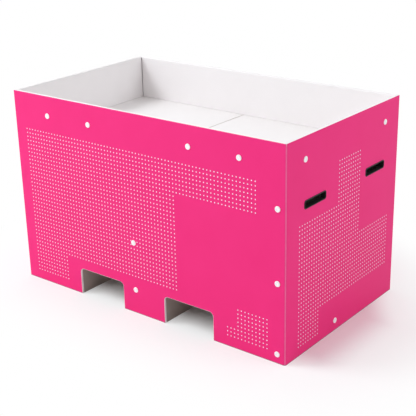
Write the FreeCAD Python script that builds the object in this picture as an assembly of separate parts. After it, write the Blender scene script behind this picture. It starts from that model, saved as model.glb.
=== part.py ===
import FreeCAD, Part
import math
import os

# Cardboard display table: a printed sleeve with its top edge rolled inwards over a two-board deck,
# carried by slotted partitions, with two tunnels underneath for the forks of a pallet truck.
# Millimetres. X runs along the length, Y from front to back, Z up from the floor.
# The origin is the middle of the footprint, on the floor.

# Overall size
LENGTH = 1200.0
DEPTH = 700.0
HEIGHT = 740.0

# Board and folds
BOARD = 7.0             # double-wall corrugated board
FOLD_INNER = 1.0        # radius inside a fold
FLANGE = 60.0           # width of every fixing flange
SLIP = 0.5              # clearance between a board's end and what it meets
EDGE_ROUND = 0.6        # rounding of moulded edges, as a share of the thickness
GLUE = 0.3              # glue line under the sleeve's joint flap

# Rolled top edge and deck
RECESS = 170.0          # deck below the top edge
HEM_GAP = 1.0           # between a panel and its rolled-in hem
RIM_RADIUS = 6.0        # outside radius of the rolled edge
MITRE_GAP = 1.2         # between neighbouring rims at a corner
HEM_GAP_CORNER = 3.0    # between neighbouring hems at an inside corner
SEAM = 2.0              # between the two deck boards
DECK_SLIP = 1.0         # deck boards inside the sleeve

# Fork tunnels
TUNNEL_WIDTH = 213.0
TUNNEL_HEIGHT = 103.0
TUNNEL_SPACING = 407.0  # between the tunnels' middles
TUNNEL_CORNER = 16.0

# Partitions
CROSS_PAST_TUNNEL = 26.0    # middle of the cross partition, under the seam, from the left tunnel
LONG_PAST_HAND = 44.5       # middle of a long partition from the end of a hand hole
SLOT_SLIP = 1.0

# Hand holes and their plastic liners
HAND_LENGTH = 127.0
HAND_HEIGHT = 30.0
HAND_CORNER = 9.0
HAND_EDGE = 162.0       # middle of a hand hole from the sleeve's edge
HAND_BELOW_DECK = 52.0
GRIP_LIP = 2.0          # flange past the body
GRIP_LIP_THICKNESS = 1.5
GRIP_WALL = 1.5
GRIP_SLIP = 0.5
GRIP_BARB = 2.0         # snap rib behind the boards
GRIP_BARB_LENGTH = 36.0
GRIP_CATCH = 1.2        # snap rib past the hole's edge

# Snap rivets
RIVET_HEAD = 20.0
RIVET_HEAD_THICKNESS = 2.2
RIVET_DIMPLE = 8.0
RIVET_DIMPLE_DEPTH = 0.6
RIVET_SHANK = 3.5
RIVET_BORE = 1.4
RIVET_SLIP = 0.2
RIVET_TIP = 1.6
RIVET_BEAD = 0.4

# Rivet places
TOP_RIVET_BELOW = 73.0
FRONT_TOP_RIVET_OUTER = 175.0   # from the sleeve's ends
FRONT_TOP_RIVET_INNER = 377.0
END_TOP_RIVET = 102.0           # from the front and the back
CORNER_RIVET_EDGE = 31.0        # from the sleeve's end
CORNER_RIVET_ENDS = 33.0        # first and last, from the end board's ends
PARTITION_RIVET_X = 28.0        # from the cross partition's middle
PARTITION_RIVET_HEIGHTS = (91.0, 272.0)
BASE_RIVET_HEIGHT = 38.0

# Worked out from the sizes above
HALF_LENGTH = LENGTH / 2
HALF_DEPTH = DEPTH / 2
FOLD_OUTER = FOLD_INNER + BOARD
DECK_TOP = HEIGHT - RECESS
DECK_UNDER = DECK_TOP - BOARD
RIM_WIDTH = 2 * BOARD + HEM_GAP
TUNNEL_X = TUNNEL_SPACING / 2
HAND_Y = HALF_DEPTH - HAND_EDGE
HAND_Z = DECK_TOP - HAND_BELOW_DECK
LONG_PARTITION_Y = HAND_Y - HAND_LENGTH / 2 - LONG_PAST_HAND
END_BOARD_X = HALF_LENGTH - 1.5 * BOARD
CHANNEL_OUTER_WIDTH = TUNNEL_WIDTH + 2 * BOARD
CHANNEL_OUTER_HEIGHT = TUNNEL_HEIGHT + BOARD
SEAM_X = CHANNEL_OUTER_WIDTH / 2 - TUNNEL_X + CROSS_PAST_TUNNEL
JOINT_TOP = DECK_UNDER - BOARD / 2


def vec(x, y, z=0.0):
    return FreeCAD.Vector(x, y, z)


def rounded_edges(points, radii):
    """Straight edges through the points, each inner corner an arc of its own radius."""
    edges = []
    start = points[0]
    for before, corner, after, radius in zip(points, points[1:], points[2:], radii):
        back = (before - corner).normalize()
        ahead = (after - corner).normalize()
        half = back.getAngle(ahead) / 2
        reach = radius / math.tan(half)
        centre = corner + (back + ahead).normalize() * (radius / math.sin(half))
        first = corner + back * reach
        last = corner + ahead * reach
        middle = centre + (corner - centre).normalize() * radius
        edges.append(Part.makeLine(start, first))
        edges.append(Part.Arc(first, middle, last).toShape())
        start = last
    edges.append(Part.makeLine(start, points[-1]))
    return edges


def side_points(path, offset):
    """The path moved sideways by offset, to its left, with its corners where the moved runs meet."""
    normals = []
    for first, last in zip(path, path[1:]):
        run = (last - first).normalize()
        normals.append(vec(-run.y, run.x))
    moved = [path[0] + normals[0] * offset]
    for corner, before, after in zip(path[1:], normals, normals[1:]):
        moved.append(corner + (before + after) * (offset / (1 + before.dot(after))))
    moved.append(path[-1] + normals[-1] * offset)
    return moved


def folded_sheet(path, bottom, top):
    """A board folded along upright creases: path is its middle line seen from above."""
    turns = []
    for before, corner, after in zip(path, path[1:], path[2:]):
        turns.append((corner - before).cross(after - corner).z)
    left = rounded_edges(side_points(path, BOARD / 2),
                         [FOLD_INNER if turn > 0 else FOLD_OUTER for turn in turns])
    right = rounded_edges(side_points(path, -BOARD / 2),
                          [FOLD_OUTER if turn > 0 else FOLD_INNER for turn in turns])
    start = Part.makeLine(left[0].Vertexes[0].Point, right[0].Vertexes[0].Point)
    end = Part.makeLine(left[-1].Vertexes[-1].Point, right[-1].Vertexes[-1].Point)
    outline = Part.Wire(Part.__sortEdges__(left + [end] + right + [start]))
    sheet = Part.Face(outline).extrude(vec(0, 0, top - bottom))
    sheet.translate(vec(0, 0, bottom))
    return sheet


def box(low, high):
    """A box between two corners."""
    size = high - low
    return Part.makeBox(size.x, size.y, size.z, low)


def rounded_plate(length, height, radius, thickness):
    """A plate in the YZ plane, centred on the X axis and growing along +X, with round corners."""
    y = length / 2
    z = height / 2
    points = [vec(0, 0, z), vec(0, y, z), vec(0, y, -z), vec(0, -y, -z), vec(0, -y, z), vec(0, 0, z)]
    outline = Part.Wire(rounded_edges(points, [radius] * 4))
    return Part.Face(outline).extrude(vec(thickness, 0, 0))


def moved(shape, x=0.0, y=0.0, z=0.0):
    copy = shape.copy()
    copy.translate(vec(x, y, z))
    return copy


def turned(shape, angle, axis=None):
    """A copy turned about an axis through the origin, Z unless given."""
    copy = shape.copy()
    copy.rotate(vec(0, 0), axis or vec(0, 0, 1), angle)
    return copy


def joined(shapes):
    """Several touching shapes as one."""
    whole = shapes[0].fuse(shapes[1:])
    return whole.removeSplitter()


# ---- fork tunnels ----

def notch(width, height, radius, sweep):
    """A doorway shape standing on the floor at the middle of X, swept along Y."""
    x = width / 2
    below = -BOARD
    points = [vec(-x, 0, below), vec(-x, 0, height), vec(x, 0, height), vec(x, 0, below)]
    edges = rounded_edges(points, [radius] * 2)
    edges.append(Part.makeLine(points[-1], points[0]))
    shape = Part.Face(Part.Wire(edges)).extrude(vec(0, sweep, 0))
    return moved(shape, y=-sweep / 2)


def fork_channel(side):
    """One tunnel: a board folded into an upside-down U, from the front panel to the back panel."""
    x = (TUNNEL_WIDTH + BOARD) / 2
    z = TUNNEL_HEIGHT + BOARD / 2
    path = [vec(-x, 0), vec(-x, z), vec(x, z), vec(x, 0)]
    run = DEPTH - 2 * (BOARD + SLIP)
    channel = folded_sheet(path, -run / 2, run / 2)
    return moved(turned(channel, 90, vec(1, 0, 0)), x=side * TUNNEL_X)


# ---- rivets ----

def rivet_places():
    """Every rivet group: name, direction of its heads, grip, and the heads' middles on the faces."""
    heights = (CORNER_RIVET_ENDS, DECK_UNDER / 2, DECK_UNDER - CORNER_RIVET_ENDS)
    corner_x = HALF_LENGTH - CORNER_RIVET_EDGE
    partition_x = SEAM_X + PARTITION_RIVET_X
    base_y = LONG_PARTITION_Y - FLANGE / 2
    top_z = HEIGHT - TOP_RIVET_BELOW
    top_x = (HALF_LENGTH - FRONT_TOP_RIVET_OUTER, HALF_LENGTH - FRONT_TOP_RIVET_INNER)
    end_y = HALF_DEPTH - END_TOP_RIVET
    return [
        ("front_top", "front", RIM_WIDTH, [(x, top_z) for far in top_x for x in (-far, far)]),
        ("right_top", "right", RIM_WIDTH, [(y, top_z) for y in (-end_y, end_y)]),
        ("front_corner", "front", 2 * BOARD, [(corner_x, z) for z in heights]),
        ("front_partition", "front", 2 * BOARD, [(partition_x, z) for z in PARTITION_RIVET_HEIGHTS]),
        ("right_base", "right", 3 * BOARD, [(-base_y, BASE_RIVET_HEIGHT)]),
        ("rear_corner", "rear", 3 * BOARD + GLUE, [(-corner_x, z) for z in heights]),
        ("rear_partition", "rear", 2 * BOARD, [(partition_x, z) for z in PARTITION_RIVET_HEIGHTS]),
        ("left_base", "left", 3 * BOARD, [(base_y, BASE_RIVET_HEIGHT)]),
    ]


def on_face(shape, face, along, z):
    """A shape made about the +X axis, set on a face of the sleeve so that +X points out of it."""
    if face == "right":
        return moved(shape, HALF_LENGTH, along, z)
    if face == "left":
        return moved(turned(shape, 180), -HALF_LENGTH, along, z)
    if face == "front":
        return moved(turned(shape, -90), along, -HALF_DEPTH, z)
    return moved(turned(shape, 90), along, HALF_DEPTH, z)


def disc(radius, start, length):
    """A round bar along X."""
    return Part.makeCylinder(radius, length, vec(start, 0, 0), vec(1, 0, 0))


def rivet_head():
    """A flat button head with a rounded rim and a shallow dimple, standing on X = 0."""
    head = disc(RIVET_HEAD / 2, 0, RIVET_HEAD_THICKNESS)
    rim = [edge for edge in head.Edges if abs(edge.CenterOfMass.x - RIVET_HEAD_THICKNESS) < 1e-6]
    head = head.makeFillet(RIVET_HEAD_THICKNESS * EDGE_ROUND, rim)
    dimple = disc(RIVET_DIMPLE / 2, RIVET_HEAD_THICKNESS - RIVET_DIMPLE_DEPTH, RIVET_HEAD_THICKNESS)
    return head.cut(dimple)


def rivet_stud(grip):
    """The outer half: head, hollow shank through the boards and a beaded tip."""
    reach = grip + RIVET_HEAD_THICKNESS + RIVET_TIP
    shank = disc(RIVET_SHANK / 2, -reach, reach)
    tip = RIVET_TIP - RIVET_SLIP
    bead = Part.makeCone(RIVET_SHANK / 2 - RIVET_BEAD, RIVET_SHANK / 2 + RIVET_BEAD, tip,
                         vec(-reach, 0, 0), vec(1, 0, 0))
    bore = disc(RIVET_BORE / 2, -reach, reach)
    return joined([rivet_head(), shank, bead]).cut(bore)


def rivet_cap(grip):
    """The inner half: the same head turned inwards, with a hole that the stud snaps through."""
    cap = moved(turned(rivet_head(), 180), x=-grip)
    reach = grip + 2 * RIVET_HEAD_THICKNESS
    return cap.cut(disc(RIVET_SHANK / 2 + RIVET_SLIP, -reach, reach))


def rivet_holes():
    """One cutter for every rivet's hole through the boards behind it."""
    holes = []
    for _, face, grip, places in rivet_places():
        for along, z in places:
            hole = disc(RIVET_SHANK / 2 + RIVET_SLIP, -grip - SLIP, grip + 2 * SLIP)
            holes.append(on_face(hole, face, along, z))
    return Part.makeCompound(holes)


def add_rivets(nodes):
    for name, face, grip, places in rivet_places():
        studs = [on_face(rivet_stud(grip), face, along, z) for along, z in places]
        caps = [on_face(rivet_cap(grip), face, along, z) for along, z in places]
        nodes[name + "_rivet_studs"] = Part.makeCompound(studs)
        nodes[name + "_rivet_caps"] = Part.makeCompound(caps)


# ---- hand holes ----

def hand_places():
    return [(face, y) for face in ("right", "left") for y in (-HAND_Y, HAND_Y)]


def hand_body():
    """Length, height and corner radius of a grip's body, inside the lip."""
    return HAND_LENGTH - 2 * GRIP_LIP, HAND_HEIGHT - 2 * GRIP_LIP, HAND_CORNER - GRIP_LIP


def hand_holes():
    """One cutter for the four hand holes, through the end panels and the boards behind them."""
    length, height, radius = hand_body()
    depth = 2 * BOARD + 2 * SLIP
    hole = rounded_plate(length + 2 * GRIP_SLIP, height + 2 * GRIP_SLIP, radius + GRIP_SLIP, depth)
    hole = moved(hole, x=SLIP - depth)
    return Part.makeCompound([on_face(hole, face, y, HAND_Z) for face, y in hand_places()])


def hand_grip():
    """A moulded liner for a hand hole: lip outside, body through both boards, snap ribs behind."""
    length, height, radius = hand_body()
    behind = 2 * BOARD + SLIP
    depth = behind + GRIP_BARB
    lip = rounded_plate(HAND_LENGTH, HAND_HEIGHT, HAND_CORNER, GRIP_LIP_THICKNESS)
    edge = [edge for edge in lip.Edges if abs(edge.BoundBox.XMin - GRIP_LIP_THICKNESS) < 1e-6]
    lip = lip.makeFillet(GRIP_LIP_THICKNESS * EDGE_ROUND, edge)
    body = moved(rounded_plate(length, height, radius, depth), x=-depth)
    catch = height / 2 + GRIP_SLIP + GRIP_CATCH
    points = [vec(-depth, 0, 0), vec(-behind, 0, 0), vec(-behind, 0, catch),
              vec(-depth, 0, height / 2)]
    rib = Part.Face(Part.makePolygon(points + points[:1])).extrude(vec(0, GRIP_BARB_LENGTH, 0))
    rib = moved(rib, y=-GRIP_BARB_LENGTH / 2)
    opening = rounded_plate(length - 2 * GRIP_WALL, height - 2 * GRIP_WALL, radius - GRIP_WALL,
                            depth + 2 * GRIP_LIP_THICKNESS)
    whole = joined([lip, body, rib, turned(rib, 180, vec(1, 0, 0))])
    return whole.cut(moved(opening, x=-depth - SLIP))


def add_grips(nodes):
    for face, y in hand_places():
        place = "front" if y < 0 else "rear"
        nodes[face + "_" + place + "_hand_grip"] = on_face(hand_grip(), face, y, HAND_Z)


# ---- printed sleeve ----

def sleeve_wall():
    """The four panels, folded in one strip, with the joint flap inside the rear left corner."""
    x = HALF_LENGTH - BOARD / 2
    y = HALF_DEPTH - BOARD / 2
    flap_y = y - BOARD - GLUE
    panels = [vec(-HALF_LENGTH, y), vec(x, y), vec(x, -y), vec(-x, -y)]
    with_flap = panels + [vec(-x, flap_y), vec(FLANGE - x, flap_y)]
    without_flap = panels + [vec(-x, HALF_DEPTH - BOARD - SLIP)]
    return [folded_sheet(with_flap, 0, JOINT_TOP),
            folded_sheet(without_flap, JOINT_TOP, HEIGHT - BOARD)]


def mitred(shape, length, offset, gap):
    """One side's share of the rolled edge, cut at 45 degrees short of its neighbours."""
    outer = (length - gap * math.sqrt(2)) / 2
    inner = outer - RIM_WIDTH
    points = [vec(-outer, -offset), vec(outer, -offset),
              vec(inner, RIM_WIDTH - offset), vec(-inner, RIM_WIDTH - offset)]
    share = Part.Face(Part.makePolygon(points + points[:1])).extrude(vec(0, 0, HEIGHT))
    return shape.common(share)


def rolled_edge(length, offset, angle):
    """The rim over one panel and the hem that hangs inside it, seen as the front side."""
    low = HEIGHT - BOARD
    points = [vec(0, -offset, low), vec(0, -offset, HEIGHT),
              vec(0, RIM_WIDTH - offset, HEIGHT), vec(0, RIM_WIDTH - offset, low)]
    edges = rounded_edges(points, [RIM_RADIUS] * 2)
    edges.append(Part.makeLine(points[-1], points[0]))
    rim = moved(Part.Face(Part.Wire(edges)).extrude(vec(length, 0, 0)), x=-length / 2)
    hem = box(vec(-length / 2, BOARD + HEM_GAP - offset, DECK_TOP + SLIP),
              vec(length / 2, RIM_WIDTH - offset, low))
    return [turned(mitred(rim, length, offset, MITRE_GAP), angle),
            turned(mitred(hem, length, offset, HEM_GAP_CORNER), angle)]


def sleeve_outline():
    """The sleeve's outside, solid, with its four rounded corner folds."""
    block = box(vec(-HALF_LENGTH, -HALF_DEPTH), vec(HALF_LENGTH, HALF_DEPTH, HEIGHT))
    corners = [edge for edge in block.Edges if edge.BoundBox.ZLength > HEIGHT / 2]
    return block.makeFillet(FOLD_OUTER, corners)


def printed_sleeve():
    pieces = sleeve_wall()
    outline = sleeve_outline()
    for length, offset, angles in ((LENGTH, HALF_DEPTH, (0, 180)), (DEPTH, HALF_LENGTH, (90, -90))):
        for angle in angles:
            rim, hem = rolled_edge(length, offset, angle)
            pieces += [rim.common(outline), hem]
    sleeve = joined(pieces)
    through = DEPTH + 2 * BOARD
    for side in (-1, 1):
        doorway = notch(TUNNEL_WIDTH, TUNNEL_HEIGHT, TUNNEL_CORNER, through)
        sleeve = sleeve.cut(moved(doorway, x=side * TUNNEL_X))
    return sleeve.cut(hand_holes()).cut(rivet_holes())


# ---- boards inside ----

def deck_board(left, right):
    y = HALF_DEPTH - BOARD - DECK_SLIP
    return box(vec(left, -y, DECK_UNDER), vec(right, y, DECK_TOP))


def end_support(side, flange_offset):
    """A board behind an end panel, under the deck, with a flange along the front or the back."""
    x = side * END_BOARD_X
    y = -side * (HALF_DEPTH - flange_offset - BOARD / 2)
    free_end = side * (HALF_DEPTH - BOARD - FOLD_INNER - SLIP)
    path = [vec(x, free_end), vec(x, y), vec(x - side * FLANGE, y)]
    return folded_sheet(path, 0, DECK_UNDER).cut(hand_holes()).cut(rivet_holes())


def slot(x, y, bottom, top):
    """A cutter for a half-lap slot, a board wide each way."""
    half = (BOARD + SLOT_SLIP) / 2
    return box(vec(x - half, y - half, bottom), vec(x + half, y + half, top))


def cross_partition():
    """The board under the seam, with flanges on the front and back panels and slots from below."""
    y = HALF_DEPTH - 1.5 * BOARD
    end = SEAM_X + FLANGE
    board = folded_sheet([vec(end, -y), vec(SEAM_X, -y), vec(SEAM_X, y), vec(end, y)], 0, DECK_UNDER)
    for side in (-1, 1):
        board = board.cut(slot(SEAM_X, side * LONG_PARTITION_Y, 0, (DECK_UNDER + SLOT_SLIP) / 2))
    return board.cut(rivet_holes())


def long_partition(side):
    """A board from end to end, astride both tunnels, with one end flange and a slot from above.

    Its free end stops short of the other long partition's flange."""
    y = side * LONG_PARTITION_Y
    free_end = side * (HALF_LENGTH - 3 * BOARD - SLIP)
    flange_x = -side * (HALF_LENGTH - 2.5 * BOARD)
    path = [vec(free_end, y), vec(flange_x, y), vec(flange_x, y - side * FLANGE)]
    board = folded_sheet(path, 0, DECK_UNDER)
    for tunnel in (-1, 1):
        gap = notch(CHANNEL_OUTER_WIDTH + 2 * SLIP, CHANNEL_OUTER_HEIGHT + SLIP, FOLD_OUTER, DEPTH)
        board = board.cut(moved(gap, x=tunnel * TUNNEL_X))
    board = board.cut(slot(SEAM_X, y, (DECK_UNDER - SLOT_SLIP) / 2, DECK_UNDER))
    return board.cut(rivet_holes())


def build():
    inside = HALF_LENGTH - BOARD - DECK_SLIP
    nodes = {
        "printed_sleeve": printed_sleeve(),
        "left_deck_board": deck_board(-inside, SEAM_X - SEAM / 2),
        "right_deck_board": deck_board(SEAM_X + SEAM / 2, inside),
        "right_end_support": end_support(1, BOARD),
        "left_end_support": end_support(-1, 2 * BOARD + GLUE),
        "cross_partition": cross_partition(),
        "front_long_partition": long_partition(-1),
        "rear_long_partition": long_partition(1),
        "left_fork_channel": fork_channel(-1),
        "right_fork_channel": fork_channel(1),
    }
    add_grips(nodes)
    add_rivets(nodes)
    return nodes


def write(nodes):
    os.makedirs("parts", exist_ok=True)
    for name, shape in nodes.items():
        shape.exportStep("parts/" + name + ".step")
        print(name, len(shape.Solids), "solids", round(shape.Volume / 1000), "cm3", shape.isValid())


write(build())
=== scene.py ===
import math

import bmesh
import bpy
from mathutils import Matrix, Vector


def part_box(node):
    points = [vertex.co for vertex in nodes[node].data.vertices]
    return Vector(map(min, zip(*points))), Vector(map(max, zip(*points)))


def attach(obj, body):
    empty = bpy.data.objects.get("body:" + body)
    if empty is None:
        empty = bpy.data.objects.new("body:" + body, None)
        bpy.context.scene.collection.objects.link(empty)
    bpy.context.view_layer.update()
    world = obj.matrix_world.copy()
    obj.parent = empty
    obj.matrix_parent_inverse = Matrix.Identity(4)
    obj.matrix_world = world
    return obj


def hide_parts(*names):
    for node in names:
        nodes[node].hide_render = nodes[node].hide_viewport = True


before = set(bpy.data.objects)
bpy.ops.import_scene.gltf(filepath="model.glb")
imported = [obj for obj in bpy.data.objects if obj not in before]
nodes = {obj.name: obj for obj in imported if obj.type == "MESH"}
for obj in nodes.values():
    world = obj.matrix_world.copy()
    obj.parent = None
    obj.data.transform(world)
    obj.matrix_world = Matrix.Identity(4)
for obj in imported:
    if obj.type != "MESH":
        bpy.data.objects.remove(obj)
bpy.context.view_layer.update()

# Cardboard display table: metres, X along the length, Y front to back, Z up from the floor.
sleeveLow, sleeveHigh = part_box("printed_sleeve")
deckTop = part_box("left_deck_board")[1].z
doorways = [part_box(name) for name in ("left_fork_channel", "right_fork_channel")]

board = {
    "thickness": 0.007,     # double-wall corrugated
    "fold": 0.008,          # outside radius of an upright fold
    "roll": 0.006,          # outside radius of the rolled top edge
    "printEnds": 0.83,      # upward share of the roll's normal where the print gives way to white
    "crush": 0.0005,        # rounding that handling leaves on a cut edge
    "deckCrush": 0.0024,
    "doorCrush": 0.0014,    # the die bares the board round each doorway
    "footEdge": 0.02,       # shorter edges at the foot stay sharp
    "sharp": math.radians(35),
}
# how far off a surface a point may lie and still count as on it
near = {"loose": 0.0005, "close": 0.0003, "exact": 0.0001}
# shares of a face's normal that lie along an axis
tilt = {"none": 0.1, "steep": 0.8, "level": 0.9, "square": 0.98}
# what a copied mesh is cleaned by: corners this near, turns this slight, slivers this thin
join = {"distance": 0.000001, "angle": 0.002, "sliver": 0.00001}
tunnelHeight = doorways[0][1].z - board["thickness"]
print("frame loaded:", len(nodes), "nodes, sleeve", [round(v, 3) for v in sleeveHigh - sleeveLow])


# Hex colour to the linear values that a shader takes
def srgb(code):
    values = [int(code[i:i + 2], 16) / 255 for i in (1, 3, 5)]
    linear = [v / 12.92 if v <= 0.04045 else ((v + 0.055) / 1.055) ** 2.4 for v in values]
    return (*linear, 1.0)


# Adds one node, sets its properties and sockets, and links sockets to other outputs
def addNode(tree, kind, settings=None, inputs=None, links=None):
    node = tree.nodes.new(kind)
    for name, value in (settings or {}).items():
        setattr(node, name, value)
    for name, value in (inputs or {}).items():
        node.inputs[name].default_value = value
    for name, source in (links or {}).items():
        tree.links.new(source, node.inputs[name])
    return node


def newMaterial(name):
    material = bpy.data.materials.new(name)
    material.use_nodes = True
    material.node_tree.nodes.clear()
    return material, material.node_tree


def finishMaterial(material, tree, shader):
    addNode(tree, "ShaderNodeOutputMaterial", links={"Surface": shader.outputs[0]})
    return material


# Makes the object from a bmesh, gives it its materials and lets it ride on the part
def newPiece(name, bm, materials, replaced=()):
    mesh = bpy.data.meshes.new(name)
    bm.to_mesh(mesh)
    bm.free()
    for attribute in [a for a in mesh.attributes if a.name == "custom_normal"]:
        mesh.attributes.remove(attribute)
    piece = bpy.data.objects.new(name, mesh)
    bpy.context.scene.collection.objects.link(piece)
    for material in materials:
        mesh.materials.append(material)
    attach(piece, "root")
    if replaced:
        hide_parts(*replaced)
    return piece


# A CAD node keeps its mesh and takes a better material
def dressNode(name, material):
    for place in nodes[name].material_slots:
        place.material = material


flutes = {"height": 0.00002, "pitch": 0.0079}      # C flute, the coarser of the board's two


# The upright ribs that the flutes behind it press into a liner
def fluteRibs(tree, place, strength):
    scale = math.pi / 10 / flutes["pitch"]      # a Wave texture's bands then repeat every pitch
    waves = [addNode(tree, "ShaderNodeTexWave", {"bands_direction": way}, {"Scale": scale},
                     {"Vector": place}).outputs["Fac"] for way in "XY"]
    both = addNode(tree, "ShaderNodeMath", {"operation": "ADD"}, links={0: waves[0], 1: waves[1]})
    ribbed = addNode(tree, "ShaderNodeBump",
                     inputs={"Strength": strength, "Distance": flutes["height"]},
                     links={"Height": both.outputs[0]})
    return ribbed.outputs[0]


pinkInk = {
    "colour": "#f73484",
    "deep": "#f32e7e",
    "roughness": 0.42,
    "creaseAndHighlight": "#ff86b4",
    # metres from the sharp corner that a fold rounds off: stretched ink and a painted highlight,
    # palest up to here, gone from here on
    "creaseFull": 0.0034, "creaseEnd": 0.0052, "creaseAndHighlightShare": 0.72,
    "footShade": "#85767c",
    "foot": 0.0024,         # metres up from the floor over which a grey contact shade is painted along the foot
    "footShadeShare": 0.9,
    "patches": 90.0,           # patches to the metre along the folds and the foot, breaking up the pale crease and the painted foot shade
    "mottle": 0.11,         # metres, size of the slow colour drift
    "ribs": 0.6,
    "fibre": 0.0012,        # drawn coarser than real paper fibre so that it shows
}


def printedBoard():
    # Litho-printed coated paper on corrugated board: flat saturated ink under a satin varnish,
    # faint upright ribs from the flutes, paler over each fold where the ink stretched and a
    # highlight is painted on, and a grey shade painted along the foot.
    material, tree = newMaterial("litho_printed_coated_board")
    place = addNode(tree, "ShaderNodeTexCoord").outputs["Object"]
    drift = addNode(tree, "ShaderNodeTexNoise",
                    inputs={"Scale": 1 / pinkInk["mottle"], "Detail": 3.0}, links={"Vector": place})
    tone = addNode(tree, "ShaderNodeMix", {"data_type": "RGBA"},
                   {6: srgb(pinkInk["deep"]), 7: srgb(pinkInk["colour"])},
                   {0: drift.outputs["Fac"]})
    # distance from the sharp corner that the nearest upright fold rounds off
    folded = addNode(tree, "ShaderNodeVectorMath", {"operation": "ABSOLUTE"}, links={0: place})
    away = addNode(tree, "ShaderNodeVectorMath", {"operation": "SUBTRACT"},
                   {1: (sleeveHigh.x, sleeveHigh.y, 0)}, {0: folded.outputs[0]})
    # the left panel folds in behind the rear panel
    sides = addNode(tree, "ShaderNodeSeparateXYZ", links={0: place})
    left = addNode(tree, "ShaderNodeMath", {"operation": "LESS_THAN"}, {1: 0.0},
                   {0: sides.outputs["X"]})
    rear = addNode(tree, "ShaderNodeMath", {"operation": "GREATER_THAN"}, {1: 0.0},
                   {0: sides.outputs["Y"]})
    lapped = addNode(tree, "ShaderNodeMath", {"operation": "MULTIPLY"},
                     links={0: left.outputs[0], 1: rear.outputs[0]})
    lap = addNode(tree, "ShaderNodeVectorMath", {"operation": "MULTIPLY"},
                  {1: (0, board["thickness"], 0)}, {0: lapped.outputs[0]})
    nearer = addNode(tree, "ShaderNodeVectorMath", {"operation": "SUBTRACT"},
                     links={0: away.outputs[0], 1: lap.outputs[0]})
    flat = addNode(tree, "ShaderNodeVectorMath", {"operation": "MULTIPLY"}, {1: (1, 1, 0)},
                   {0: nearer.outputs[0]})
    reach = addNode(tree, "ShaderNodeVectorMath", {"operation": "LENGTH"},
                    links={0: flat.outputs[0]})
    # pale crease along each fold: partly stretched ink, partly a painted highlight
    crest = addNode(tree, "ShaderNodeMapRange", {"interpolation_type": "SMOOTHSTEP"},
                    {"From Min": pinkInk["creaseFull"], "From Max": pinkInk["creaseEnd"],
                     "To Min": pinkInk["creaseAndHighlightShare"], "To Max": 0.0},
                    {"Value": reach.outputs["Value"]})
    patchNoise = addNode(tree, "ShaderNodeTexNoise", inputs={"Scale": pinkInk["patches"], "Detail": 4.0},
                     links={"Vector": place})
    patchiness = addNode(tree, "ShaderNodeMapRange", inputs={"From Min": 0.3, "From Max": 0.7,
                                                       "To Min": 0.75, "To Max": 1.0},
                   links={"Value": patchNoise.outputs["Fac"]})
    creaseAndHighlightMask = addNode(tree, "ShaderNodeMath", {"operation": "MULTIPLY"},
                      links={0: crest.outputs["Result"], 1: patchiness.outputs["Result"]})
    colour = addNode(tree, "ShaderNodeMix", {"data_type": "RGBA"}, {7: srgb(pinkInk["creaseAndHighlight"])},
                     {0: creaseAndHighlightMask.outputs[0], 6: tone.outputs[2]})
    # grey shade painted along the foot, where the board meets the floor
    foot = addNode(tree, "ShaderNodeMapRange", {"interpolation_type": "SMOOTHSTEP"},
                   {"From Min": pinkInk["foot"] * 0.5, "From Max": pinkInk["foot"] * 1.5,
                    "To Min": pinkInk["footShadeShare"], "To Max": 0.0},
                   {"Value": sides.outputs["Z"]})
    footShaded = addNode(tree, "ShaderNodeMath", {"operation": "MULTIPLY"},
                     links={0: foot.outputs["Result"], 1: patchiness.outputs["Result"]})
    colour = addNode(tree, "ShaderNodeMix", {"data_type": "RGBA"}, {7: srgb(pinkInk["footShade"])},
                     {0: footShaded.outputs[0], 6: colour.outputs[2]})
    fibre = addNode(tree, "ShaderNodeTexNoise",
                    inputs={"Scale": 1 / pinkInk["fibre"], "Detail": 2.0}, links={"Vector": place})
    bump = addNode(tree, "ShaderNodeBump", inputs={"Strength": 0.25, "Distance": 0.00003},
                   links={"Height": fibre.outputs["Fac"],
                          "Normal": fluteRibs(tree, place, pinkInk["ribs"])})
    shader = addNode(tree, "ShaderNodeBsdfPrincipled",
                     inputs={"Roughness": pinkInk["roughness"], "IOR": 1.5,
                             "Specular IOR Level": 0.1},
                     links={"Base Color": colour.outputs[2], "Normal": bump.outputs[0]})
    return finishMaterial(material, tree, shader)


def whiteInkDots():
    # White ink dots: a thin opaque film, a little warmer and flatter than the coated paper.
    material, tree = newMaterial("white_printing_ink")
    place = addNode(tree, "ShaderNodeTexCoord").outputs["Object"]
    speck = addNode(tree, "ShaderNodeTexNoise", inputs={"Scale": 700.0, "Detail": 2.0},
                    links={"Vector": place})
    tone = addNode(tree, "ShaderNodeMix", {"data_type": "RGBA"},
                   {6: srgb("#f4e7f8"), 7: srgb("#fbeffe")}, {0: speck.outputs["Fac"]})
    bump = addNode(tree, "ShaderNodeBump", inputs={"Strength": 0.2, "Distance": 0.00002},
                   links={"Height": speck.outputs["Fac"]})
    shader = addNode(tree, "ShaderNodeBsdfPrincipled", inputs={"Roughness": 0.5, "IOR": 1.5},
                     links={"Base Color": tone.outputs[2], "Normal": bump.outputs[0]})
    return finishMaterial(material, tree, shader)


whitePaper = {
    "colour": "#f6f2f2",
    "cloud": "#f3efef",
    "roughness": 0.55,
    "cloudSize": 0.06,
    "fibre": 0.0016,        # drawn coarser than real fibre
    "ribs": 0.5,
}


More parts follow.
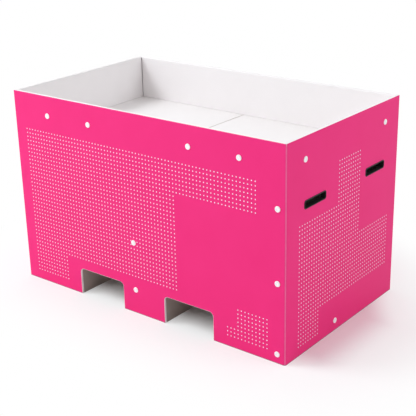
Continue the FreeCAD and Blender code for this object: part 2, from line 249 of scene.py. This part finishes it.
def whiteBoard(name, colour, cloud, roughness):
    # Clay-coated white liner on corrugated board: clean white with faint cloudiness from the
    # pulp, fine fibre and the slight ribs of the flutes behind it.
    material, tree = newMaterial(name)
    place = addNode(tree, "ShaderNodeTexCoord").outputs["Object"]
    clouds = addNode(tree, "ShaderNodeTexNoise",
                     inputs={"Scale": 1 / whitePaper["cloudSize"], "Detail": 4.0},
                     links={"Vector": place})
    tone = addNode(tree, "ShaderNodeMix", {"data_type": "RGBA"},
                   {6: srgb(cloud), 7: srgb(colour)}, {0: clouds.outputs["Fac"]})
    fibre = addNode(tree, "ShaderNodeTexNoise",
                    inputs={"Scale": 1 / whitePaper["fibre"], "Detail": 3.0},
                    links={"Vector": place})
    bump = addNode(tree, "ShaderNodeBump", inputs={"Strength": 0.3, "Distance": 0.00004},
                   links={"Height": fibre.outputs["Fac"],
                          "Normal": fluteRibs(tree, place, whitePaper["ribs"])})
    shader = addNode(tree, "ShaderNodeBsdfPrincipled", inputs={"Roughness": roughness, "IOR": 1.5},
                     links={"Base Color": tone.outputs[2], "Normal": bump.outputs[0]})
    return finishMaterial(material, tree, shader)


def rawPaper(name, dark, light, fibre):
    # Uncoated paper where the board was die-cut, or the fluting inside it: matt, speckled with
    # fibres, rougher than the coated face.
    material, tree = newMaterial(name)
    place = addNode(tree, "ShaderNodeTexCoord").outputs["Object"]
    speck = addNode(tree, "ShaderNodeTexNoise", inputs={"Scale": 1 / fibre, "Detail": 4.0},
                    links={"Vector": place})
    tone = addNode(tree, "ShaderNodeMix", {"data_type": "RGBA"},
                   {6: srgb(dark), 7: srgb(light)}, {0: speck.outputs["Fac"]})
    bump = addNode(tree, "ShaderNodeBump", inputs={"Strength": 0.5, "Distance": 0.0001},
                   links={"Height": speck.outputs["Fac"]})
    shader = addNode(tree, "ShaderNodeBsdfPrincipled", inputs={"Roughness": 0.85, "IOR": 1.5},
                     links={"Base Color": tone.outputs[2], "Normal": bump.outputs[0]})
    return finishMaterial(material, tree, shader)


def mouldedPlastic(name, dark, light, roughness, grain, depth):
    # Injection-moulded plastic: even colour, a fine spark-eroded grain, soft sheen.
    material, tree = newMaterial(name)
    place = addNode(tree, "ShaderNodeTexCoord").outputs["Object"]
    spark = addNode(tree, "ShaderNodeTexNoise", inputs={"Scale": 1 / grain, "Detail": 3.0},
                    links={"Vector": place})
    tone = addNode(tree, "ShaderNodeMix", {"data_type": "RGBA"},
                   {6: srgb(dark), 7: srgb(light)}, {0: spark.outputs["Fac"]})
    gloss = addNode(tree, "ShaderNodeMapRange", inputs={"To Min": roughness - 0.05,
                                                        "To Max": roughness + 0.07},
                    links={"Value": spark.outputs["Fac"]})
    bump = addNode(tree, "ShaderNodeBump", inputs={"Strength": 0.4, "Distance": depth},
                   links={"Height": spark.outputs["Fac"]})
    shader = addNode(tree, "ShaderNodeBsdfPrincipled", inputs={"IOR": 1.49},
                     links={"Base Color": tone.outputs[2], "Normal": bump.outputs[0],
                            "Roughness": gloss.outputs["Result"]})
    return finishMaterial(material, tree, shader)


printMaterial = printedBoard()
dotMaterial = whiteInkDots()
paperMaterial = whiteBoard("clay_coated_white_liner", whitePaper["colour"], whitePaper["cloud"],
                           whitePaper["roughness"])
deckMaterial = whiteBoard("clay_coated_deck_liner", "#f4f0ef", "#f1edec", whitePaper["roughness"])
innerMaterial = whiteBoard("uncoated_pale_liner", "#e2dcd8", "#dad3ce", roughness=0.7)
# the fork channels' liner, darkened to a warm grey as painted shade for the little light inside the
# tunnels
tunnelShadeMaterial = whiteBoard("tunnel_liner_painted_shade", "#b0a29b", "#a69890", roughness=0.8)
edgeMaterial = rawPaper("die_cut_board_edge", "#f0eceb", "#fdfbfa", fibre=0.002)
# the deck boards' slit and rounded edges: raw paper, darkened further as painted shade in the seam
# between the boards and round the deck
deckEdgeShadeMaterial = rawPaper("slit_board_edge_painted_shade", "#bdb5ae", "#d6cfc9", fibre=0.002)
mediumMaterial = rawPaper("fluting_medium", "#b39f88", "#c9b69d", fibre=1 / 300)
rivetMaterial = mouldedPlastic("white_moulded_polypropylene", "#fbfbfd", "#ffffff",
                               roughness=0.36, grain=0.0009, depth=0.00002)
gripMaterial = mouldedPlastic("black_moulded_abs", "#060605", "#100f0f",
                              roughness=0.62, grain=0.0008, depth=0.00004)
print("materials made")


cutEdge = {
    "narrow": 0.0045, "wide": 0.0075,   # mean width of a face that is the board's own edge
    "corner": 0.3,                      # radians, least turn along its long sides
    "shortest": 0.012,                  # straight stretches shorter than this get no flutes
    "parallel": 0.999,
    "liner": 0.00035,                   # paper thickness
    "groove": 0.0026,                   # how far up the open flutes show
    "shallow": 0.0009,                  # on an upright edge, cut along a flute's flank
    "recess": 0.0003,                   # the medium stops just short of the liners
    "medium": 0.0003,
    "joint": 0.00002,                   # left where two stretches meet end to end
    "stepsPerWave": 6,
}
# B flute outside, middle liner, C flute inside; middle and swing are shares of the thickness
layers = (
    {"middle": 0.235, "swing": 0.135, "pitch": 0.00635},
    {"middle": 0.425, "swing": 0.0, "pitch": 0.1},
    {"middle": 0.70, "swing": 0.22, "pitch": flutes["pitch"]},
)


# The board's own edge is a ribbon as wide as the board is thick, with a corner along both sides
def isCutFace(face):
    around = sum(edge.calc_length() for edge in face.edges) / 2
    longEdges = [edge for edge in face.edges if edge.calc_length() > cutEdge["shortest"]]
    return (cutEdge["narrow"] < face.calc_area() / around < cutEdge["wide"]
            and all(len(edge.link_faces) == 2 and edge.calc_face_angle() > cutEdge["corner"]
                    for edge in longEdges))


# In a doorway of the front or the back panel, or within a margin of its edge
def inDoorway(point, margin):
    side = board["thickness"] - margin
    return (abs(point.y) > sleeveHigh.y - board["thickness"] - near["loose"]
            and point.z < tunnelHeight + margin
            and any(low.x + side < point.x < high.x - side for low, high in doorways))


# The doorways' crushed rim, and their rounded corners, which are cut in short steps
def isDoorEdge(face):
    return (abs(face.normal.y) < tilt["square"]
            and inDoorway(face.calc_center_median(), board["doorCrush"]))


# The outer skin and most of the way up the rolled edge
def isPrinted(face):
    centre = face.calc_center_median()
    normal = face.normal
    reach = board["fold"]
    flatX = sleeveHigh.x - abs(centre.x)
    flatY = sleeveHigh.y - abs(centre.y)
    if centre.z > sleeveHigh.z - board["roll"]:
        onLong = flatY < board["roll"] and abs(normal.x) < tilt["none"]
        onEnd = flatX < board["roll"] and abs(normal.y) < tilt["none"]
        return (onLong or onEnd) and normal.z < board["printEnds"]
    if abs(normal.z) > tilt["steep"]:
        return False
    if centre.x < 0 and 0 < centre.y < sleeveHigh.y - board["thickness"]:
        flatY -= board["thickness"]     # the left panel folds in behind the rear panel
    if flatX < board["crush"] or flatY < board["crush"]:
        return normal.x * centre.x + normal.y * centre.y > 0.1      # faces away from the middle
    if flatX < reach and flatY < reach and normal.x * centre.x > 0 and normal.y * centre.y > 0:
        return math.hypot(reach - flatX, reach - flatY) > reach - 2 * near["loose"]
    return False


# Cut edges that face down, and the sleeve's free upright end at the back
def showsFlutes(face):
    return (face.normal.z < -tilt["level"]
            or face.calc_center_median().x < sleeveLow.x + near["exact"])


# Straight stretches of a cut edge: where each starts, its way along and across, and its length
def stretches(face):
    longEdges = [edge for edge in face.edges if edge.calc_length() > cutEdge["shortest"]]
    for index, edge in enumerate(longEdges):
        start, end = (vert.co.copy() for vert in edge.verts)
        along = (end - start).normalized()
        for other in longEdges[index + 1:]:
            first, last = (vert.co - start for vert in other.verts)
            across = first - first.dot(along) * along
            if abs((last - first).normalized().dot(along)) < cutEdge["parallel"]:
                continue
            if not cutEdge["narrow"] < across.length < cutEdge["wide"]:
                continue
            low = max(0, min(first.dot(along), last.dot(along)))
            high = min((end - start).length, max(first.dot(along), last.dot(along)))
            if high - low > cutEdge["shortest"]:
                corner = start + along * low
                if across.dot(corner) > 0:      # count from the outside inwards
                    corner, across = corner + across, -across
                yield corner, along, across, high - low


def addMesh(bm, other):
    mesh = bpy.data.meshes.new("part")
    other.to_mesh(mesh)
    other.free()
    bm.from_mesh(mesh)
    bpy.data.meshes.remove(mesh)


# Wavy paper standing in the open edge of the board
def addFlutes(bm, stretch, inward, materialIndex):
    corner, along, across, length = stretch
    place = Matrix((along, across.normalized(), inward)).transposed().to_4x4()
    place = Matrix.Translation(corner) @ place
    waves = abs(along.z) < 0.5      # the flutes run upright, and an upright edge shows no waves
    depth = cutEdge["groove"] if waves else cutEdge["shallow"]
    for layer in layers:
        swing = layer["swing"] if waves else 0
        steps = cutEdge["stepsPerWave"] * max(1, round(length / layer["pitch"])) if swing else 1
        strip = bmesh.new()
        bmesh.ops.create_grid(strip, x_segments=steps, y_segments=1, size=0.5)
        for vert in strip.verts:
            far = length / 2 + vert.co.x * (length - cutEdge["joint"])
            deep = depth if vert.co.y > 0 else cutEdge["recess"]
            wave = swing * math.sin(2 * math.pi * far / layer["pitch"])
            vert.co = (far, (layer["middle"] + wave) * across.length, deep)
        bmesh.ops.solidify(strip, geom=strip.faces[:], thickness=cutEdge["medium"])
        strip.transform(place)
        bmesh.ops.recalc_face_normals(strip, faces=strip.faces)
        for face in strip.faces:
            face.material_index = materialIndex
            face.smooth = True
        addMesh(bm, strip)


# Gives a board its look: face, printed skin, cut edge and the flutes that show from below
def cutBoard(node, name, crushes, faceIndex, materials):
    bm = bmesh.new()
    bm.from_mesh(nodes[node].data)
    bmesh.ops.remove_doubles(bm, verts=bm.verts, dist=join["distance"])
    bmesh.ops.dissolve_limit(bm, angle_limit=join["angle"], verts=bm.verts, edges=bm.edges)
    for crushed, crush in crushes:
        bmesh.ops.bevel(bm, geom=[edge for edge in bm.edges if crushed(edge)], offset=crush,
                        offset_type="OFFSET", segments=2, profile=0.5, affect="EDGES", material=-1)
        bmesh.ops.dissolve_degenerate(bm, edges=bm.edges, dist=join["sliver"])
    edgeIndex, mediumIndex = len(materials) - 2, len(materials) - 1
    for face in bm.faces:
        face.smooth = True
        face.material_index = edgeIndex if isCutFace(face) else faceIndex(face)
    hollow = [face for face in bm.faces if isCutFace(face) and showsFlutes(face)]
    upright = [face for face in hollow if face.normal.z > -tilt["level"]]
    downward = [face for face in hollow if face.normal.z <= -tilt["level"]]
    found = [(stretch, -face.normal) for face in hollow for stretch in stretches(face)]
    for faces, depth in ((upright, cutEdge["shallow"]), (downward, cutEdge["groove"])):
        if not faces:
            continue
        walls = bmesh.ops.inset_region(bm, faces=faces, thickness=cutEdge["liner"], depth=-depth,
                                       use_even_offset=True, use_boundary=True)["faces"]
        for face in walls:
            face.material_index = edgeIndex
        for face in faces:
            face.material_index = mediumIndex
    for edge in bm.edges:
        edge.smooth = len(edge.link_faces) == 2 and edge.calc_face_angle() < board["sharp"]
    for stretch, inward in found:
        addFlutes(bm, stretch, inward, mediumIndex)
    piece = newPiece(name, bm, materials, [node])
    shading = piece.modifiers.new("shading", "WEIGHTED_NORMAL")
    shading.keep_sharp = True
    return piece


def isOuterBottom(edge):
    ends = [vert.co for vert in edge.verts]
    if max(end.z for end in ends) > near["loose"] or len(edge.link_faces) != 2:
        return False
    return edge.calc_length() > board["footEdge"] and all(
        sleeveHigh.x - abs(end.x) < near["loose"] or sleeveHigh.y - abs(end.y) < near["loose"]
        for end in ends)


def isDoorRim(edge):
    if len(edge.link_faces) != 2 or edge.calc_face_angle() < 1:
        return False
    return all(abs(vert.co.y) > sleeveHigh.y - near["exact"] and vert.co.z > near["exact"]
               and inDoorway(vert.co, near["close"]) for vert in edge.verts)


def isDeckRim(edge):
    return min(vert.co.z for vert in edge.verts) > deckTop - near["loose"]


cutBoard("printed_sleeve", "display_sleeve",
         ((isOuterBottom, board["crush"]), (isDoorRim, board["doorCrush"])),
         lambda face: 2 if isDoorEdge(face) else 0 if isPrinted(face) else 1,
         [printMaterial, paperMaterial, edgeMaterial, mediumMaterial])
for node in ("left_deck_board", "right_deck_board"):
    cutBoard(node, node + "_cut", ((isDeckRim, board["deckCrush"]),),
             lambda face: 1 if abs(face.normal.z) < tilt["level"] else 0,
             [deckMaterial, deckEdgeShadeMaterial, mediumMaterial])
for node in nodes:
    if "support" in node or "partition" in node and "rivet" not in node:
        cutBoard(node, node + "_cut", (), lambda face: 0,
                 [innerMaterial, edgeMaterial, mediumMaterial])
    elif "channel" in node:
        cutBoard(node, node + "_cut", (), lambda face: 0,
                 [tunnelShadeMaterial, edgeMaterial, mediumMaterial])
print("boards made")


# A block of dots is its first and last column, then its first and last row, from the top left
longPrint = {
    "sides": ("front", "rear"),
    "first": 0.060, "step": 0.01445,
    "top": 0.603, "drop": 0.01479,
    "blocks": ((0, 71, 0, 7), (0, 48, 8, 31), (0, 11, 32, 38), (66, 74, 31, 38), (63, 65, 36, 38)),
}
endPrint = {
    "sides": ("right", "left"),
    "first": 0.075, "step": 0.01441,
    "top": 0.6074, "drop": 0.01397,
    "blocks": ((16, 25, 0, 10), (0, 25, 11, 34), (26, 39, 21, 34), (0, 8, 35, 41)),
}
dot = {
    "radius": 0.0022,
    "corners": 12,
    "proud": 0.00012,       # ink film drawn thick enough to stay clear of the panel
    "sunk": 0.00008,
    "shrink": 0.98,         # the film's edge slopes in a little
}


# From a panel's own frame, along it, up it and out of it, to the part's frame
def panelPlace(side):
    x, y = sleeveHigh.x, sleeveHigh.y
    corner, along = {
        "front": ((-x, -y, 0), (1, 0, 0)),
        "right": ((x, -y, 0), (0, 1, 0)),
        "rear": ((x, y, 0), (-1, 0, 0)),
        "left": ((-x, y, 0), (0, -1, 0)),
    }[side]
    along, up = Vector(along), Vector((0, 0, 1))
    turn = Matrix((along, up, along.cross(up))).transposed().to_4x4()
    return Matrix.Translation(corner) @ turn


# The given pieces again and again, count of them in all, each a step further
def repeat(bm, geom, count, step):
    if count > 1:
        bmesh.ops.spin(bm, geom=geom, cent=(0, 0, 0), axis=(0, 0, 1), angle=0, dvec=step,
                       steps=count - 1, use_duplicate=True)


def printDots(side, layout):
    whole = bmesh.new()
    depth = dot["proud"] + dot["sunk"]
    for firstColumn, lastColumn, firstRow, lastRow in layout["blocks"]:
        bm = bmesh.new()
        middle = (layout["first"] + firstColumn * layout["step"],
                  layout["top"] - firstRow * layout["drop"], dot["proud"] - depth / 2)
        bmesh.ops.create_cone(bm, cap_ends=True, segments=dot["corners"], radius1=dot["radius"],
                              radius2=dot["radius"] * dot["shrink"], depth=depth,
                              matrix=Matrix.Translation(middle))
        repeat(bm, bm.verts[:] + bm.edges[:] + bm.faces[:], lastRow - firstRow + 1,
               (0, -layout["drop"], 0))
        repeat(bm, bm.verts[:] + bm.edges[:] + bm.faces[:], lastColumn - firstColumn + 1,
               (layout["step"], 0, 0))
        bm.transform(panelPlace(side))
        addMesh(whole, bm)
    return newPiece(side + "_dot_print", whole, [dotMaterial])


for layout in (longPrint, endPrint):
    for side in layout["sides"]:
        printDots(side, layout)
print("dots printed")


for name in nodes:
    if "rivet" in name:
        dressNode(name, rivetMaterial)
    elif "hand_grip" in name:
        dressNode(name, gripMaterial)


camera = {
    "azimuth": 38.74, "elevation": 20.89, "roll": -1.35,    # degrees
    "lens": 83.68, "sensor": 36, "sees": 100,
    "right": 0.008, "up": 0.280, "back": 3.693,     # metres from the origin, on its own axes
}


def addCamera():
    azimuth, elevation, roll = (math.radians(camera[name])
                                for name in ("azimuth", "elevation", "roll"))
    back = Vector((math.sin(azimuth) * math.cos(elevation),
                   -math.cos(azimuth) * math.cos(elevation), math.sin(elevation)))
    right = Vector((math.cos(azimuth), math.sin(azimuth), 0))
    up = back.cross(right)
    rolledRight = math.cos(roll) * right + math.sin(roll) * up
    rolledUp = math.cos(roll) * up - math.sin(roll) * right
    turn = Matrix((rolledRight, rolledUp, back)).transposed().to_4x4()
    place = camera["right"] * rolledRight + camera["up"] * rolledUp + camera["back"] * back
    data = bpy.data.cameras.new("camera")
    data.lens = camera["lens"]
    data.sensor_width = camera["sensor"]
    data.clip_end = camera["sees"]
    shot = bpy.data.objects.new("camera", data)
    shot.matrix_world = Matrix.Translation(place) @ turn
    bpy.context.scene.collection.objects.link(shot)
    bpy.context.scene.camera = shot


addCamera()


# place, size and power of each soft box, all of which look at lampAim
lampAim = Vector((0, 0, 0.4))
softBoxes = {
    "key": {"place": (-3.1, -2.3, 4.45), "size": 1.9, "power": 142.0},
    "right": {"place": (4.5, 1.5, 3.0), "size": 2.4, "power": 57.0},
    "front": {"place": (-1.8, -3.6, 1.6), "size": 1.6, "power": 21.0},
}
daylight = (0.93, 0.967, 1.0)       # slightly cool, as flash is
# white studio round the table, which gives back the flash a little warmer: its level at the
# horizon, and how it leans brighter along X, Y and Z
studio = {"colour": (0.952, 0.962, 0.975, 1), "level": 0.696, "lean": (-0.330, 0.265, 0.0)}


def addLights():
    for name, box in softBoxes.items():
        data = bpy.data.lights.new(name, "AREA")
        data.shape = "SQUARE"
        data.size = box["size"]
        data.energy = box["power"]
        data.color = daylight
        lamp = bpy.data.objects.new(name, data)
        lamp.location = box["place"]
        way = lampAim - Vector(box["place"])
        lamp.rotation_euler = way.to_track_quat("-Z", "Y").to_euler()
        bpy.context.scene.collection.objects.link(lamp)


# 1 on the rays that show the background: to the camera, and to it by way of a gloss or a glass
def backgroundRay(tree):
    path = addNode(tree, "ShaderNodeLightPath")
    mirrored = addNode(tree, "ShaderNodeMath", {"operation": "MAXIMUM"},
                       links={0: path.outputs["Is Camera Ray"], 1: path.outputs["Is Glossy Ray"]})
    seen = addNode(tree, "ShaderNodeMath", {"operation": "MAXIMUM"},
                   links={0: mirrored.outputs[0], 1: path.outputs["Is Transmission Ray"]})
    return seen.outputs[0]


def addWorld():
    world = bpy.data.worlds.new("studio")
    world.use_nodes = True
    bpy.context.scene.world = world
    tree = world.node_tree
    tree.nodes.clear()
    way = addNode(tree, "ShaderNodeTexCoord").outputs["Generated"]
    lean = addNode(tree, "ShaderNodeVectorMath", {"operation": "DOT_PRODUCT"}, {1: studio["lean"]},
                   {0: way})
    level = addNode(tree, "ShaderNodeMath", {"operation": "ADD"}, {1: studio["level"]},
                    {0: lean.outputs["Value"]})
    lit = addNode(tree, "ShaderNodeBackground", inputs={"Color": studio["colour"]},
                  links={"Strength": level.outputs[0]})
    white = addNode(tree, "ShaderNodeBackground", inputs={"Color": (1, 1, 1, 1), "Strength": 1.0})
    both = addNode(tree, "ShaderNodeMixShader", links={0: backgroundRay(tree), 1: lit.outputs[0],
                                                       2: white.outputs[0]})
    addNode(tree, "ShaderNodeOutputWorld", links={"Surface": both.outputs[0]})


floorLook = {
    "colour": "#fafafa",
    "middle": (0.05, 0.12, 0),      # away from the key light, whose side is the brighter one
    # metres out from the table's outline over which the floor turns white, and the share of each
    "steps": ((-0.02, 0.13, 0.56), (0.08, 0.52, 0.44)),
    "back": 0.1, "skew": 0.75,      # the shadow draws in behind this depth
    "size": 30.0,
}


def addFloor():
    # Seamless white studio paper. To the camera and in gloss it is mixed with a white glow, painted
    # light that grows away from the table's outline and sets how far its shadow shows.
    material, tree = newMaterial("studio_paper")
    place = addNode(tree, "ShaderNodeTexCoord").outputs["Object"]
    moved = addNode(tree, "ShaderNodeVectorMath", {"operation": "SUBTRACT"},
                    {1: floorLook["middle"]}, {0: place})
    folded = addNode(tree, "ShaderNodeVectorMath", {"operation": "ABSOLUTE"},
                     links={0: moved.outputs[0]})
    box = addNode(tree, "ShaderNodeVectorMath", {"operation": "SUBTRACT"},
                  {1: (sleeveHigh.x, sleeveHigh.y, 0)}, {0: folded.outputs[0]})
    depth = addNode(tree, "ShaderNodeSeparateXYZ", links={0: place}).outputs["Y"]
    behind = addNode(tree, "ShaderNodeMapRange",
                     inputs={"From Min": floorLook["back"], "From Max": floorLook["back"] + 1,
                             "To Max": floorLook["skew"]},
                     links={"Value": depth})
    skewed = addNode(tree, "ShaderNodeCombineXYZ", links={"X": behind.outputs["Result"]})
    past = addNode(tree, "ShaderNodeVectorMath", {"operation": "ADD"},
                   links={0: box.outputs[0], 1: skewed.outputs[0]})
    beyond = addNode(tree, "ShaderNodeVectorMath", {"operation": "MAXIMUM"}, {1: (0, 0, 0)},
                     {0: past.outputs[0]})
    outside = addNode(tree, "ShaderNodeVectorMath", {"operation": "LENGTH"},
                      links={0: beyond.outputs[0]})
    sides = addNode(tree, "ShaderNodeSeparateXYZ", links={0: past.outputs[0]})
    nearer = addNode(tree, "ShaderNodeMath", {"operation": "MAXIMUM"},
                     links={0: sides.outputs["X"], 1: sides.outputs["Y"]})
    inside = addNode(tree, "ShaderNodeMath", {"operation": "MINIMUM"}, {1: 0.0},
                     {0: nearer.outputs[0]})
    away = addNode(tree, "ShaderNodeMath", {"operation": "ADD"},
                   links={0: outside.outputs["Value"], 1: inside.outputs[0]})
    rises = [addNode(tree, "ShaderNodeMapRange", {"interpolation_type": "SMOOTHSTEP"},
                     {"From Min": start, "From Max": end, "To Max": part},
                     {"Value": away.outputs[0]}).outputs["Result"]
             for start, end, part in floorLook["steps"]]
    far = addNode(tree, "ShaderNodeMath", {"operation": "ADD"}, links={0: rises[0], 1: rises[1]})
    share = addNode(tree, "ShaderNodeMath", {"operation": "MULTIPLY"},
                    links={0: backgroundRay(tree), 1: far.outputs[0]})
    paper = addNode(tree, "ShaderNodeBsdfDiffuse", inputs={"Color": srgb(floorLook["colour"])})
    # the painted glow
    white = addNode(tree, "ShaderNodeEmission", inputs={"Color": (1, 1, 1, 1), "Strength": 1.0})
    both = addNode(tree, "ShaderNodeMixShader", links={0: share.outputs[0], 1: paper.outputs[0],
                                                       2: white.outputs[0]})
    bm = bmesh.new()
    bmesh.ops.create_grid(bm, x_segments=1, y_segments=1, size=floorLook["size"])
    mesh = bpy.data.meshes.new("studio_floor")
    bm.to_mesh(mesh)
    bm.free()
    mesh.materials.append(finishMaterial(material, tree, both))
    floor = bpy.data.objects.new("studio_floor", mesh)
    bpy.context.scene.collection.objects.link(floor)


addLights()
addWorld()
addFloor()
bpy.context.scene.view_settings.view_transform = "Standard"
print("studio ready")
